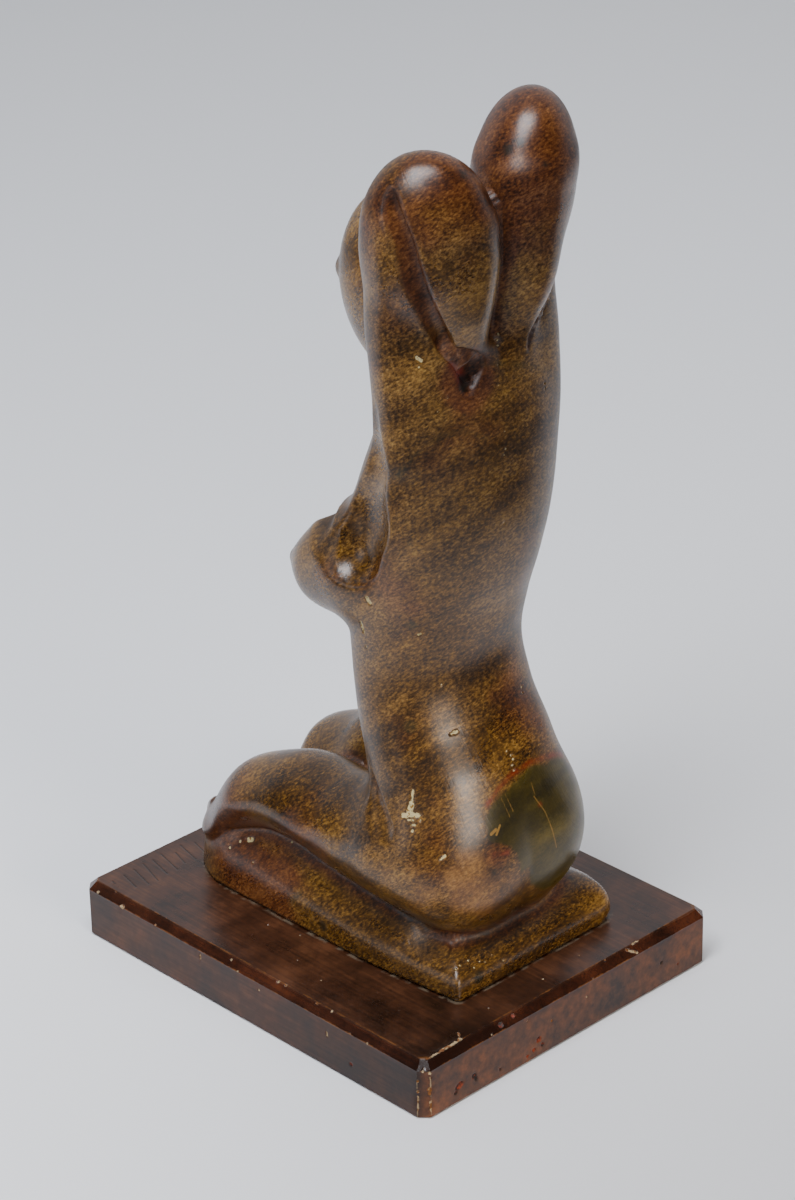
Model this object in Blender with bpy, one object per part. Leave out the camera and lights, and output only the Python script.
# Kneeling female figure carved from one soapstone block, on a separate dark stone plinth.
# Metres, +Z up. The figure faces -Y and her left side is +X. The origin is at the bottom
# centre of the plinth.
import math

import bmesh
import bpy
import numpy as np
from mathutils import Matrix

# Driving dimensions, in metres
FIGURE_HEIGHT = 0.2785        # underside of the figure's own base to the higher elbow
PLINTH_HEIGHT = 0.020
PLINTH_END_MARGIN = 0.0152    # plinth showing in front of and behind the figure's base
PLINTH_SIDE_MARGIN = 0.0258   # plinth showing at each side of it
PLINTH_TOP_BEVEL = 0.0028     # chamfer round the plinth's top edge
PLINTH_CORNER = 0.0030        # chamfer down its four upright corners
SEAT_GAP = 0.0003             # between plinth and figure

# The figure is carved in the units of a model whose higher elbow is at 278.5, with its
# underside at z = 0. Every mass below is a share of that height, and one unit is 1 mm at
# the real size.
ELBOW_TOP = dict(left=270.0, right=278.5)
TO_METRES = FIGURE_HEIGHT / ELBOW_TOP["right"]

# Base: a low slab left under the folded legs
BASE = dict(
    half_width=39.2, half_length=64.8, centre=(-2.0, -1.5),
    edge=8.2,                 # height of its outer ridge
    edge_fall=0.03,           # the ridge sinks by this much per unit toward either end
    edge_level=(-30, 20),     # and is level between these two places
    batter=0.10,              # the sides lean in by this much per unit of height
    corner=4.0, ridge_round=2.2,
    left_lean=0.10,           # her left side runs in toward the back, behind edge_level
    knee_round=34.0, knee_ahead=6.2, right_back_round=14.0,
    run_on=30.0,              # how far a rounding outline passes the edges it leaves alone
    ridge_inset=1.0,
    back_slope=0.88,          # rise of the top from the back edge to the seat
    back_rise=(44, 54),       # where that slope takes over from the one beside the shins
    between_shins=10.0, shin_x=22.0, shin_sink=7.0,
)

# Crease between the thigh and the folded shin, from the knee (front) to the seat (back)
CREASE = dict(
    y=(-58, -49, -40.6, -28, -15.4, -2.2, 11.4, 24.6, 38.5, 50, 64),
    x=(34, 33, 30, 28.5, 27.5, 27, 27, 27, 27.5, 26, 26),
    z=(16, 19, 24.9, 27.8, 24.7, 21.4, 19, 17.3, 17, 16.6, 16.6),
    wall=(40, 42, 45, 47, 52, 57, 60, 60, 58, 50, 45),   # degrees, underside of the thigh
    lip=5.0,                  # rounding of the thigh's lower edge
    seat=38.0, seat_rise=0.5,  # behind this place the wall gives way to the round seat
)

# Torso: level sections, each a soft-cornered oval centred on the midline
TORSO = dict(
    z=(10, 28, 46, 66, 84, 100, 115, 130, 150, 166, 180, 194, 208),
    y=(36, 36, 35.5, 32, 25.5, 22.3, 23.3, 26.3, 30.8, 34.2, 36.7, 37.3, 35.8),
    half_width=(20, 31, 33, 32, 30, 29.2, 30.5, 32.5, 33.8, 33.6, 33, 31, 25),
    back=(16, 25, 26, 24.5, 21.5, 20.8, 22, 23.3, 22.8, 20.8, 18.8, 16.3, 13),
    front=(16, 22, 23, 23, 21.7, 20.5, 21.3, 22, 21, 19, 16, 14, 11),
    squareness=2.3,
    top_round=8.0, bottom_round=6.0,
)

# Round masses: centres or ends with their radii, her left side; the right mirrors it
HIP = dict(centre=(15, 37, 36), radii=(23, 23.5, 24))
THIGH = (((19, 26, 30), 20.5), ((19.4, -18, 33.3), 18.6), ((20.3, -34.5, 24.6), 16.4),
         ((22, -46.5, 12), 14))
CHEST = (((17, 25, 178), 5.5), ((17, 18.5, 145), 11), ((17, 17.5, 130), 14.5))
BREAST = (((17, 16, 130.5), 16), ((21, 0, 125), 11))
NIPPLE = (((21, 0, 125), 9), ((23.5, -14.5, 124.5), 1.8))
NECK = (((0, 24, 180), 15), ((0, 16, 198), 14))
HEAD = dict(centre=(0, 16.5, 215.5), radii=(21.5, 25, 31), tilt=14)
ARMPIT = (((35.5, 29, 188), 4), ((38.5, 20.5, 141), 13.5))

# Arms: raised, elbows up, forearms folded down behind the head. Her right elbow is higher.
DIAGONAL = 136.0              # degrees from +X of the long axis of an arm's section
UPPER_ARM = dict(
    z=(170, 186, 200, 214, 226, 237, 246),
    x=(22, 22, 22, 22, 22.3, 22.6, 22.6),
    y=(35, 36.6, 36.2, 34.5, 34.8, 36.5, 38.5),
    radius=(11, 12, 12.6, 12.6, 12.6, 13.4, 13.6),
)
FOREARM = dict(
    z=(202, 210, 218, 226, 236, 246),
    x=(8.5, 10.5, 12.5, 13.6, 14.6, 15.6),
    y=(41, 43, 44.2, 45.2, 46, 46),
    along=(7, 9, 11, 12.3, 13.3, 13.6),
    across=(8, 10.2, 12.0, 12.6, 12.4, 12.4),
)
ELBOW = dict(x=18.8, y=41.3, below_top=32, radii=(20, 15.6, 32), lean=(7.5, -4.6), taper=0.12)
LIFT_FROM = 200.0             # the higher arm is stretched upward from this height

# Carved hollow between upper arm and forearm, straight-walled on the forearm's side
HOLLOW = dict(
    z=(197.7, 203.5, 210.2, 218.1, 224.8, 232.4, 240.2, 248.2, 256, 262),
    x=(12.5, 14, 18, 23, 26.8, 29.5, 31.2, 32.2, 32.5, 32.5),
    y=(50.8, 50.5, 50.5, 51.5, 51.9, 51, 50, 48, 44, 41),
    depth=(7, 6.2, 5.2, 4.6, 4.2, 3.6, 3.0, 2.0, 0.6, -1),
    scoop=(3.3, 4, 4.8, 6, 7.1, 8.3, 9.1, 9.5, 9.5, 9.5),
    wall_round=2.4, end_round=2.0,
    right_lift=6.0, right_shift=-3.0,
)

# How softly each mass runs into the stone already there: the width of the blend
BLEND = dict(
    hip=12, chest=8, chest_chain=4, thigh=2.5, thigh_chain=8, breast=3, nipple=9,
    upper_arm=3, arm_end=8, armpit=1.2, elbow=3, forearm=1.5, forearm_end=6, forearm_soft=9,
    hollow=1.8, neck=6, head=2.0, base=0.8, foot=1.5, knees=2.0, underside=0.3,
)
FOREARM_FADE_LOW = (202, 216)    # the forearm's crisp edge fades out downward
FOREARM_FADE_TOP = dict(left=242, right=250, length=12)

# Meshing of the figure
ROUGH_VOXEL = 2.4             # in the same units as the masses
FINE_VOXEL = 1.9
FIGURE_TRIANGLES = 9300
SHELL_SIDES = 24
RING_STEPS = 32


def blend_union(a, b, radius):
    share = np.clip(0.5 + 0.5 * (b - a) / radius, 0, 1)
    return b * (1 - share) + a * share - radius * share * (1 - share)


def blend_common(a, b, radius):
    return -blend_union(-a, -b, radius)


def blend_cut(a, tool, radius):
    return blend_common(a, -tool, radius)


def ramp(value, start, end):
    t = np.clip((value - start) / (end - start), 0, 1)
    return t * t * (3 - 2 * t)


def along(value, stations, sizes):
    """Smooth curve through the sizes at the stations, constant beyond the ends."""
    xs = np.asarray(stations, float)
    ys = np.asarray(sizes, float)
    widths = np.diff(xs)
    slopes = np.diff(ys) / widths
    tangents = np.empty_like(ys)
    tangents[0] = slopes[0]
    tangents[-1] = slopes[-1]
    tangents[1:-1] = (slopes[:-1] * widths[1:] + slopes[1:] * widths[:-1]) / (widths[1:] + widths[:-1])
    value = np.clip(value, xs[0], xs[-1])
    i = np.clip(np.searchsorted(xs, value) - 1, 0, len(xs) - 2)
    h = widths[i]
    t = (value - xs[i]) / h
    return (ys[i] * (2 * t**3 - 3 * t**2 + 1) + tangents[i] * h * (t**3 - 2 * t**2 + t)
            + ys[i + 1] * (3 * t**2 - 2 * t**3) + tangents[i + 1] * h * (t**3 - t**2))


def turn(rx, ry, rz):
    return np.array(Matrix.Rotation(math.radians(rz), 3, "Z")
                    @ Matrix.Rotation(math.radians(ry), 3, "Y")
                    @ Matrix.Rotation(math.radians(rx), 3, "X"))


def egg(points, centre, radii, angles=(0, 0, 0), taper=0.0):
    """Distance to an ellipsoid, blunter above and narrower below by the taper."""
    local = (points - np.asarray(centre, float)) @ turn(*angles)
    radii = np.asarray(radii, float)
    local[:, :2] /= 1 + taper * np.clip(local[:, 2:] / radii[2], -1, 1)
    near = np.linalg.norm(local / radii, axis=1)
    steep = np.linalg.norm(local / radii**2, axis=1)
    return near * (near - 1) / np.maximum(steep, 1e-9)


def limb(points, start, end):
    """Distance to a round cone between two balls, each given as (centre, radius)."""
    a, b = np.asarray(start[0], float), np.asarray(end[0], float)
    ra, rb = start[1], end[1]
    axis = b - a
    length2 = axis @ axis
    taper = ra - rb
    slant2 = length2 - taper * taper
    rel = points - a
    y = rel @ axis
    z = y - length2
    x2 = np.sum((rel * length2 - y[:, None] * axis)**2, axis=1)
    y2 = y * y * length2
    z2 = z * z * length2
    k = np.sign(taper) * taper * taper * x2
    return np.where(np.sign(z) * slant2 * z2 > k, np.sqrt(x2 + z2) / length2 - rb,
           np.where(np.sign(y) * slant2 * y2 < k, np.sqrt(x2 + y2) / length2 - ra,
                    (np.sqrt(x2 * slant2 / length2) + y * taper) / length2 - ra))


def chain(points, balls, radius):
    whole = limb(points, balls[0], balls[1])
    for start, end in zip(balls[1:-1], balls[2:]):
        whole = blend_union(whole, limb(points, start, end), radius)
    return whole


def oval(dx, dy, a, b, squareness):
    k = (np.abs(dx / a)**squareness + np.abs(dy / b)**squareness)**(1 / squareness)
    steep = np.sqrt((dx / a**2)**2 + (dy / b**2)**2) + 1e-9
    return np.where(k < 0.25, -0.75 * np.minimum(a, b), 0.9 * k * (k - 1) / steep)


def column(points, stations, x, y, a, b, angle, end_round):
    """Level oval sections through the stations, with rounded ends."""
    z = points[:, 2]
    dx = points[:, 0] - along(z, stations, x)
    dy = points[:, 1] - along(z, stations, y)
    c, s = math.cos(math.radians(angle)), math.sin(math.radians(angle))
    side = oval(c * dx + s * dy, c * dy - s * dx, along(z, stations, a), along(z, stations, b), 2.0)
    return blend_common(blend_common(side, z - stations[-1], end_round), stations[0] - z, end_round)


def round_outline(points, centre, half_x, half_y, radius):
    qx = np.abs(points[:, 0] - centre[0]) - half_x + radius
    qy = np.abs(points[:, 1] - centre[1]) - half_y + radius
    corner = np.hypot(np.maximum(qx, 0), np.maximum(qy, 0))
    return corner + np.minimum(np.maximum(qx, qy), 0) - radius


def mirrored(points):
    other = points.copy()
    other[:, 0] = np.abs(other[:, 0])
    return other


def torso(points):
    z = points[:, 2]
    dy = points[:, 1] - along(z, TORSO["z"], TORSO["y"])
    depth = np.where(dy > 0, along(z, TORSO["z"], TORSO["back"]), along(z, TORSO["z"], TORSO["front"]))
    side = oval(points[:, 0], dy, along(z, TORSO["z"], TORSO["half_width"]), depth, TORSO["squareness"])
    side = blend_common(side, z - TORSO["z"][-1], TORSO["top_round"])
    return blend_common(side, TORSO["z"][0] - z, TORSO["bottom_round"])


def base_outline(points):
    """The slab's plan, with round knees in front and one round corner behind."""
    cx, cy = BASE["centre"]
    wide, long, on = BASE["half_width"], BASE["half_length"], BASE["run_on"]
    behind = np.maximum(points[:, 1] - BASE["edge_level"][1], 0)
    foot = round_outline(points, (cx, cy), wide, long, BASE["corner"])
    left_side = points[:, 0] - (cx + wide) + behind * BASE["left_lean"]
    foot = blend_common(foot, left_side, BLEND["foot"])
    knees = round_outline(points, (cx, cy + on), wide, long + on + BASE["knee_ahead"],
                          BASE["knee_round"])
    corner = round_outline(points, (cx + on, cy - on), wide + on, long + on,
                           BASE["right_back_round"])
    return blend_common(blend_common(foot, knees, BLEND["knees"]), corner, BLEND["foot"])


def base(points):
    x, y, z = points.T
    cx = BASE["centre"][0]
    foot = base_outline(points)
    first, last = BASE["edge_level"]
    past = np.maximum(y - last, 0) + np.maximum(first - y, 0)
    edge = BASE["edge"] - BASE["edge_fall"] * past
    crease_x = along(y, CREASE["y"], CREASE["x"])
    crease_z = along(y, CREASE["y"], CREASE["z"])
    ridge_x = BASE["half_width"] + np.sign(x) * cx - BASE["ridge_inset"]
    slope = (crease_z - edge) / np.maximum(ridge_x - crease_x, 1.5)
    start, end = BASE["back_rise"]
    slope = slope + (BASE["back_slope"] - slope) * np.clip((y - start) / (end - start), 0, 1)
    shin = np.clip(np.abs(x) / BASE["shin_x"], 0, 1)**2
    highest = BASE["between_shins"] + (crease_z - BASE["shin_sink"]) * shin
    rise = np.minimum(edge + slope * np.maximum(-foot, 0), highest)
    top = (z - rise) / np.sqrt(1 + slope * slope)
    return blend_common(foot + BASE["batter"] * z, top, BASE["ridge_round"])


def under_thigh(points):
    """Positive above the wall that runs from the crease out to the thigh's lower edge."""
    y = points[:, 1]
    out = np.abs(points[:, 0]) - along(y, CREASE["y"], CREASE["x"])
    up = points[:, 2] - along(y, CREASE["y"], CREASE["z"])
    angle = np.radians(along(y, CREASE["y"], CREASE["wall"]))
    seat = np.maximum(y - CREASE["seat"], 0) * CREASE["seat_rise"]
    return up * np.cos(angle) - out * np.sin(angle) + seat


def lifted(heights, top):
    """Heights along an arm, stretched upward where its elbow is higher than her left one."""
    reach = ELBOW_TOP["left"] - LIFT_FROM - ELBOW["below_top"]
    share = [min(max(0, (z - LIFT_FROM) / reach), 1.2) for z in heights]
    return [z + (top - ELBOW_TOP["left"]) * s for z, s in zip(heights, share)]


def arm_masses(points, top):
    upper = column(points, lifted(UPPER_ARM["z"], top), UPPER_ARM["x"], UPPER_ARM["y"],
                   UPPER_ARM["radius"], UPPER_ARM["radius"], DIAGONAL, BLEND["arm_end"])
    fore = column(points, lifted(FOREARM["z"], top), FOREARM["x"], FOREARM["y"],
                  FOREARM["along"], FOREARM["across"], DIAGONAL, BLEND["forearm_end"])
    elbow = egg(points, (ELBOW["x"], ELBOW["y"], top - ELBOW["below_top"]), ELBOW["radii"],
                (*ELBOW["lean"], DIAGONAL), ELBOW["taper"])
    return upper, fore, elbow


def hollow(points, left):
    sides = mirrored(points)
    rise = np.clip((points[:, 2] - HOLLOW["z"][0]) / (HOLLOW["z"][4] - HOLLOW["z"][0]), 0, 1)
    lift = np.where(left, 0, HOLLOW["right_lift"]) * rise
    z = points[:, 2] - lift
    x = along(z, HOLLOW["z"], HOLLOW["x"]) + np.where(left, 0, HOLLOW["right_shift"])
    y = along(z, HOLLOW["z"], HOLLOW["y"])
    depth = along(z, HOLLOW["z"], HOLLOW["depth"])
    scoop = along(z, HOLLOW["z"], HOLLOW["scoop"])
    c, s = math.cos(math.radians(DIAGONAL)), math.sin(math.radians(DIAGONAL))
    across = c * (sides[:, 0] - x) + s * (sides[:, 1] - y)
    out = s * (sides[:, 0] - x) - c * (sides[:, 1] - y)
    tool = np.hypot(across, out - (scoop - depth)) - scoop
    tool = blend_common(tool, across, HOLLOW["wall_round"])
    tool = blend_common(tool, HOLLOW["z"][0] - 1 - z, HOLLOW["end_round"])
    return blend_common(tool, z - HOLLOW["z"][-1], HOLLOW["end_round"])


def figure_field(points):
    """Distance from the carved surface, negative inside the stone."""
    sides = mirrored(points)
    left = points[:, 0] > 0
    body = torso(points)
    body = blend_union(body, egg(sides, HIP["centre"], HIP["radii"]), BLEND["hip"])
    body = blend_union(body, chain(sides, CHEST, BLEND["chest_chain"]), BLEND["chest"])
    body = blend_union(body, chain(sides, THIGH, BLEND["thigh_chain"]), BLEND["thigh"])
    body = blend_common(body, -under_thigh(points), CREASE["lip"])
    breast = blend_union(limb(sides, *BREAST), limb(sides, *NIPPLE), BLEND["nipple"])
    body = blend_union(body, breast, BLEND["breast"])
    masses = zip(arm_masses(sides, ELBOW_TOP["left"]), arm_masses(sides, ELBOW_TOP["right"]))
    upper, fore, elbow = (np.where(left, a, b) for a, b in masses)
    body = blend_union(body, upper, BLEND["upper_arm"])
    body = blend_cut(body, limb(sides, *ARMPIT), BLEND["armpit"])
    body = blend_union(body, elbow, BLEND["elbow"])
    fade_from = np.where(left, FOREARM_FADE_TOP["left"], FOREARM_FADE_TOP["right"])
    soft = np.maximum(1 - ramp(points[:, 2], *FOREARM_FADE_LOW),
                      np.clip((points[:, 2] - fade_from) / FOREARM_FADE_TOP["length"], 0, 1))
    crisp_arm = blend_union(body, fore, BLEND["forearm"])
    soft_arm = blend_union(body, fore, BLEND["forearm_soft"])
    body = crisp_arm * (1 - soft) + soft_arm * soft
    body = blend_cut(body, hollow(points, left), BLEND["hollow"])
    body = blend_union(body, limb(points, *NECK), BLEND["neck"])
    head = egg(points, HEAD["centre"], HEAD["radii"], (HEAD["tilt"], 0, 0))
    body = blend_union(body, head, BLEND["head"])
    body = blend_union(body, base(points), BLEND["base"])
    return blend_common(body, -points[:, 2], BLEND["underside"])


def add_ball(bm, centre, radii, angles=(0, 0, 0)):
    frame = Matrix.Translation(centre) @ Matrix(turn(*angles).tolist()).to_4x4()
    frame = frame @ Matrix.Diagonal((*radii, 1))
    bmesh.ops.create_uvsphere(bm, u_segments=SHELL_SIDES, v_segments=SHELL_SIDES // 2, radius=1,
                              matrix=frame)


def add_limb(bm, start, end):
    """Rounded stick between two balls, as the hull of both."""
    hull = bmesh.new()
    for centre, radius in (start, end):
        add_ball(hull, centre, (radius, radius, radius))
    made = bmesh.ops.convex_hull(hull, input=hull.verts)
    spare = [item for item in made["geom_interior"] if isinstance(item, bmesh.types.BMVert)]
    spare += [item for item in made["geom_unused"] if isinstance(item, bmesh.types.BMVert)]
    bmesh.ops.delete(hull, geom=spare, context="VERTS")
    mesh = bpy.data.meshes.new("limb")
    hull.to_mesh(mesh)
    hull.free()
    bm.from_mesh(mesh)
    bpy.data.meshes.remove(mesh)


def add_prism(bm, half_x, half_y, centre, low, high):
    frame = Matrix.Translation((centre[0], centre[1], (low + high) / 2))
    frame = frame @ Matrix.Diagonal((2 * half_x, 2 * half_y, high - low, 1))
    bmesh.ops.create_cube(bm, size=1, matrix=frame)


def add_torso(bm):
    """Loft of level rings, closed at both ends."""
    steps = RING_STEPS
    power = 2 / TORSO["squareness"]
    rings = []
    for z, y, wide, back, front in zip(TORSO["z"], TORSO["y"], TORSO["half_width"],
                                       TORSO["back"], TORSO["front"]):
        ring = []
        for i in range(steps):
            angle = 2 * math.pi * i / steps
            c, s = math.cos(angle), math.sin(angle)
            px = wide * math.copysign(abs(c)**power, c)
            py = (back if s > 0 else front) * math.copysign(abs(s)**power, s)
            ring.append(bm.verts.new((px, y + py, z)))
        rings.append(ring)
    edges = []
    for ring in rings:
        edges.append([bm.edges.new((ring[i], ring[(i + 1) % steps])) for i in range(steps)])
    for low, high in zip(edges[:-1], edges[1:]):
        bmesh.ops.bridge_loops(bm, edges=low + high)
    for ring in (rings[0], rings[-1]):
        bm.faces.new(ring)


def both_sides(centre):
    return (centre, (-centre[0], centre[1], centre[2]))


def rough_block():
    """The masses as overlapping shells, before carving."""
    bm = bmesh.new()
    add_torso(bm)
    for centre in both_sides(HIP["centre"]):
        add_ball(bm, centre, HIP["radii"])
    for balls in (CHEST, THIGH, BREAST, NIPPLE, NECK):
        for start, end in zip(balls[:-1], balls[1:]):
            for a, b in zip(both_sides(start[0]), both_sides(end[0])):
                add_limb(bm, (a, start[1]), (b, end[1]))
    for side, top in ((1, ELBOW_TOP["left"]), (-1, ELBOW_TOP["right"])):
        angle = DIAGONAL if side > 0 else 180 - DIAGONAL
        add_ball(bm, (side * ELBOW["x"], ELBOW["y"], top - ELBOW["below_top"]), ELBOW["radii"],
                 (0, 0, angle))
        for row, radii in ((UPPER_ARM, UPPER_ARM["radius"]), (FOREARM, FOREARM["across"])):
            balls = [((side * x, y, z), r)
                     for z, x, y, r in zip(lifted(row["z"], top), row["x"], row["y"], radii)]
            for start, end in zip(balls[:-1], balls[1:]):
                add_limb(bm, start, end)
    add_ball(bm, HEAD["centre"], HEAD["radii"], (HEAD["tilt"], 0, 0))
    for inset, height in ((BASE["ridge_inset"], BASE["edge"]), (BASE["edge"], 2 * BASE["edge"])):
        add_prism(bm, BASE["half_width"] - inset, BASE["half_length"] - inset, BASE["centre"], 0,
                  height)
    bmesh.ops.recalc_face_normals(bm, faces=bm.faces)
    mesh = bpy.data.meshes.new("block")
    bm.to_mesh(mesh)
    bm.free()
    return mesh


def with_modifier(mesh, kind, **settings):
    """A new mesh: the given one after one modifier."""
    work = bpy.data.objects.new("work", mesh)
    bpy.context.scene.collection.objects.link(work)
    modifier = work.modifiers.new(kind.title(), kind)
    for name, value in settings.items():
        setattr(modifier, name, value)
    view = bpy.context.evaluated_depsgraph_get()
    result = bpy.data.meshes.new_from_object(work.evaluated_get(view))
    bpy.data.objects.remove(work)
    bpy.data.meshes.remove(mesh)
    return result


def corners(mesh):
    flat = np.empty(len(mesh.vertices) * 3, np.float32)
    mesh.vertices.foreach_get("co", flat)
    return flat.reshape(-1, 3).astype(float)


def move_corners(mesh, points):
    mesh.vertices.foreach_set("co", points.astype(np.float32).ravel())
    mesh.update()


def ease_onto_field(points, rounds, stride):
    """Newton steps along the field's slope, each no longer than the stride.

    The value and the slope both come from four samples at the corners of a small
    tetrahedron round the point.
    """
    reach = 0.05
    tips = np.array(((1, -1, -1), (-1, -1, 1), (-1, 1, -1), (1, 1, 1)), float)
    for _ in range(rounds):
        samples = np.array([figure_field(points + tip * reach) for tip in tips])
        value = samples.mean(axis=0)
        slope = samples.T @ tips / (4 * reach)
        size2 = np.maximum(np.sum(slope * slope, axis=1), 0.05)
        move = np.clip(-value / np.sqrt(size2), -stride, stride)
        points = points + slope * (move / np.sqrt(size2))[:, None]
    return points


def evened(mesh, points, amount):
    """Each corner moved part of the way to the middle of its neighbours."""
    pairs = np.empty(len(mesh.edges) * 2, np.int32)
    mesh.edges.foreach_get("vertices", pairs)
    pairs = pairs.reshape(-1, 2)
    total = np.zeros_like(points)
    count = np.zeros(len(points))
    for a, b in ((0, 1), (1, 0)):
        np.add.at(total, pairs[:, a], points[pairs[:, b]])
        np.add.at(count, pairs[:, a], 1)
    return points + (total / np.maximum(count, 1)[:, None] - points) * amount


def carve_figure():
    """Rough shells fused, drawn onto the field and meshed again, twice, then thinned."""
    mesh = rough_block()
    for voxel, rounds in ((ROUGH_VOXEL, 5), (FINE_VOXEL, 4)):
        mesh = with_modifier(mesh, "REMESH", mode="VOXEL", voxel_size=voxel)
        points = ease_onto_field(corners(mesh), rounds, voxel / 2)
        move_corners(mesh, evened(mesh, points, 0.5))
    mesh = with_modifier(mesh, "REMESH", mode="VOXEL", voxel_size=FINE_VOXEL)
    points = corners(mesh)
    for _ in range(3):
        points = ease_onto_field(evened(mesh, points, 0.4), 1, FINE_VOXEL / 2)
    move_corners(mesh, ease_onto_field(points, 1, FINE_VOXEL / 2))
    ratio = FIGURE_TRIANGLES / (2 * len(mesh.polygons))
    mesh = with_modifier(mesh, "DECIMATE", ratio=ratio, use_collapse_triangulate=True)
    move_corners(mesh, ease_onto_field(corners(mesh), 2, FINE_VOXEL / 4))
    return mesh


def stone(name, colour, roughness):
    material = bpy.data.materials.new(name)
    material.use_nodes = True
    shader = material.node_tree.nodes["Principled BSDF"]
    shader.inputs["Base Color"].default_value = (*colour, 1)
    shader.inputs["Roughness"].default_value = roughness
    shader.inputs["Metallic"].default_value = 0
    return material


def place(name, mesh, material, location):
    piece = bpy.data.objects.new(name, mesh)
    bpy.context.scene.collection.objects.link(piece)
    mesh.materials.clear()
    mesh.materials.append(material)
    piece.location = location
    return piece


def make_figure():
    mesh = carve_figure()
    mesh.transform(Matrix.Scale(TO_METRES, 4))
    mesh.shade_smooth()
    return place("figure", mesh, stone("brown soapstone", (0.150, 0.075, 0.026), 0.32),
                 (0, 0, PLINTH_HEIGHT + SEAT_GAP))


def make_plinth():
    """A square-edged slab, chamfered down its corners and round its top."""
    half_x = BASE["half_width"] * TO_METRES + PLINTH_SIDE_MARGIN
    half_y = BASE["half_length"] * TO_METRES + PLINTH_END_MARGIN
    bm = bmesh.new()
    frame = Matrix.Translation((0, 0, PLINTH_HEIGHT / 2))
    frame = frame @ Matrix.Diagonal((2 * half_x, 2 * half_y, PLINTH_HEIGHT, 1))
    bmesh.ops.create_cube(bm, size=1, matrix=frame)
    upright = [e for e in bm.edges if abs((e.verts[0].co - e.verts[1].co).normalized().z) > 0.9]
    bmesh.ops.bevel(bm, geom=upright, offset=PLINTH_CORNER, segments=1, affect="EDGES",
                    offset_type="WIDTH")
    top = [e for e in bm.edges if all(v.co.z > PLINTH_HEIGHT * 0.99 for v in e.verts)]
    bmesh.ops.bevel(bm, geom=top, offset=PLINTH_TOP_BEVEL, segments=1, affect="EDGES",
                    offset_type="OFFSET")
    mesh = bpy.data.meshes.new("plinth")
    bm.to_mesh(mesh)
    bm.free()
    return place("plinth", mesh, stone("dark plinth stone", (0.045, 0.020, 0.012), 0.40), (0, 0, 0))


for old in list(bpy.data.objects):
    bpy.data.objects.remove(old)
make_plinth()
make_figure()
